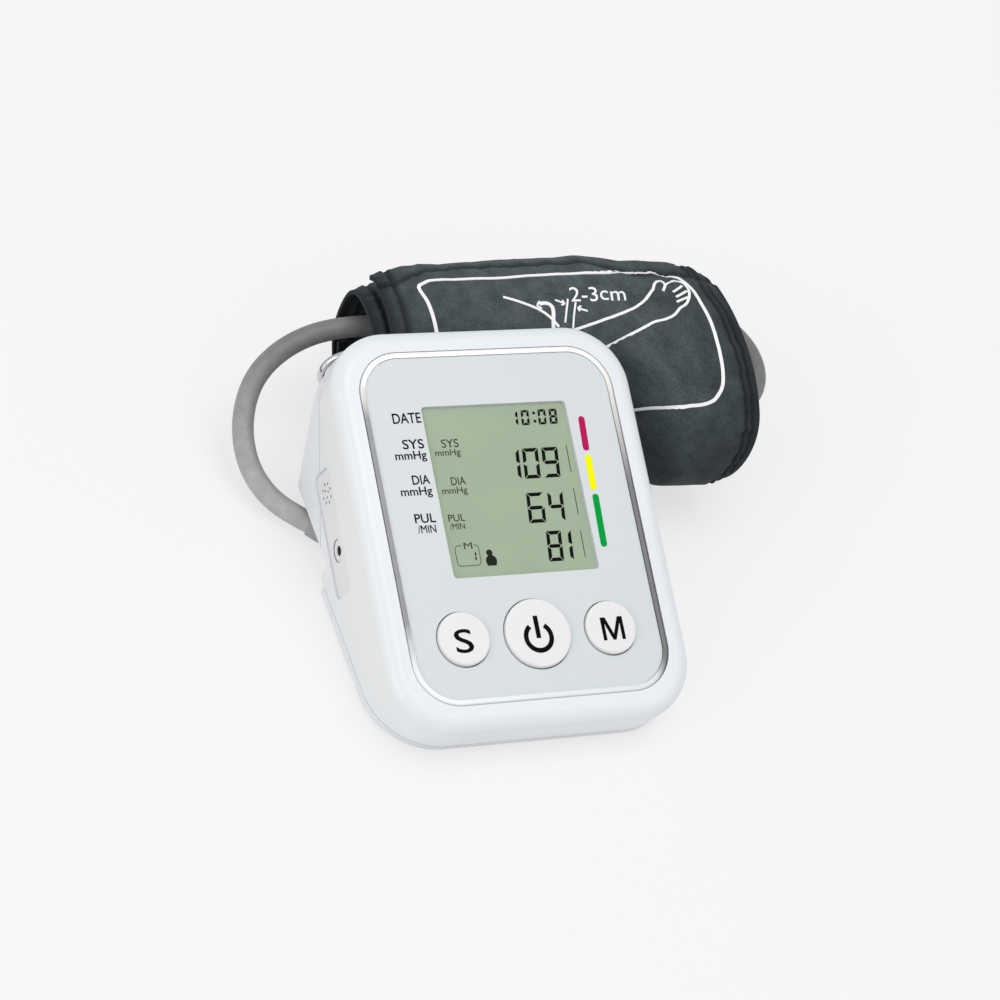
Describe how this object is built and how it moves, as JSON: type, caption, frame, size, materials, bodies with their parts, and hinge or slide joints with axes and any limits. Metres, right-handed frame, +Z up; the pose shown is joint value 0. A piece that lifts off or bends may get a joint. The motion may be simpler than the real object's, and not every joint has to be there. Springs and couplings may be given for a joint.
{
  "type": "upper-arm blood pressure monitor",
  "caption": "Wedge-shaped table monitor with a sloping display, round push buttons, a side jack and an air hose to a rolled arm cuff with a wire ring.",
  "frame": {"origin": "on the table, in the monitor's centre plane, in the middle of the base's front land", "axes": "+Z up, +X to the monitor's right as its user sees it, +Y to its back; the cuff's roll lies behind the monitor, along X"},
  "size_m": [0.1735, 0.1561, 0.0563],
  "materials": {
    "case_white": "satin white moulded shell",
    "trim_silver": "bright bevelled ring",
    "panel_grey": "pale cool grey face",
    "insert_grey": "mid grey",
    "foot_rubber": "matt",
    "screw_steel": "plated",
    "lens_clear": "clear",
    "lcd_green": "reflective display, grey green",
    "frame_black": "black",
    "zebra_grey": "layered strip",
    "board_green": "green board",
    "button_white": "satin white",
    "door_white": "satin white",
    "cell_wrap": "plain sleeve",
    "motor_metal": "drawn can",
    "air_plastic": "natural nylon",
    "tube_clear": "silicone",
    "plug_grey": "mid grey",
    "hose_grey": "satin grey",
    "cuff_cloth": "dark woven nylon",
    "bladder_rubber": "thin sheet",
    "cuff_trim": "black tape",
    "ring_wire": "plated wire"
  },
  "bodies": {
    "monitor": {"front_shell": "case_white", "rear_shell": "case_white", "face_trim": "trim_silver", "face_panel": "panel_grey", "port_panel": "insert_grey", "rubber_feet": "foot_rubber", "case_screws": "screw_steel", "board_screws": "screw_steel", "battery_springs": "screw_steel", "battery_plates": "screw_steel", "lcd_window": "lens_clear", "lcd_glass": "lcd_green", "lcd_frame": "frame_black", "speaker": "frame_black", "dc_jack": "frame_black", "pressure_sensor": "frame_black", "tact_switches": "frame_black", "board_chips": "frame_black", "zebra_strips": "zebra_grey", "main_board": "board_green", "battery_cells": "cell_wrap", "pump_motor": "motor_metal", "pump_head": "air_plastic", "release_valve": "air_plastic", "air_manifold": "air_plastic", "air_socket": "air_plastic", "inner_tubes": "tube_clear", "air_plug": "plug_grey", "cuff_port": "plug_grey", "air_hose": "hose_grey", "cuff_outer_lap": "cuff_cloth", "cuff_inner_lap": "cuff_cloth", "cuff_bladder": "bladder_rubber", "hook_patch": "cuff_trim", "flap_binding": "cuff_trim", "end_binding": "cuff_trim", "d_ring_tab": "cuff_trim"},
    "set_key": {"set_button": "button_white"},
    "power_key": {"power_button": "button_white"},
    "memory_key": {"memory_button": "button_white"},
    "door": {"battery_door": "door_white"},
    "ring": {"d_ring": "ring_wire"}
  },
  "joints": [
    {"name": "set_press", "type": "slide", "parent": "monitor", "child": "set_key", "axis": [0, 0.342, -0.9397], "range_m": [0, 0.0008], "stiffness_N_per_m": 1500, "springref_m": -0.0003},
    {"name": "power_press", "type": "slide", "parent": "monitor", "child": "power_key", "axis": [0, 0.342, -0.9397], "range_m": [0, 0.0008], "stiffness_N_per_m": 1500, "springref_m": -0.0003},
    {"name": "memory_press", "type": "slide", "parent": "monitor", "child": "memory_key", "axis": [0, 0.342, -0.9397], "range_m": [0, 0.0008], "stiffness_N_per_m": 1500, "springref_m": -0.0003},
    {"name": "door_hinge", "type": "hinge", "parent": "monitor", "child": "door", "pos_m": [0, 0.0076, 0.0011], "axis": [-1, 0, 0], "range_deg": [0, 75]},
    {"name": "ring_swing", "type": "hinge", "parent": "monitor", "child": "ring", "pos_m": [0.0229, 0.106, 0.034], "axis": [1, 0, 0], "range_deg": [-5, 35]}
  ]
}
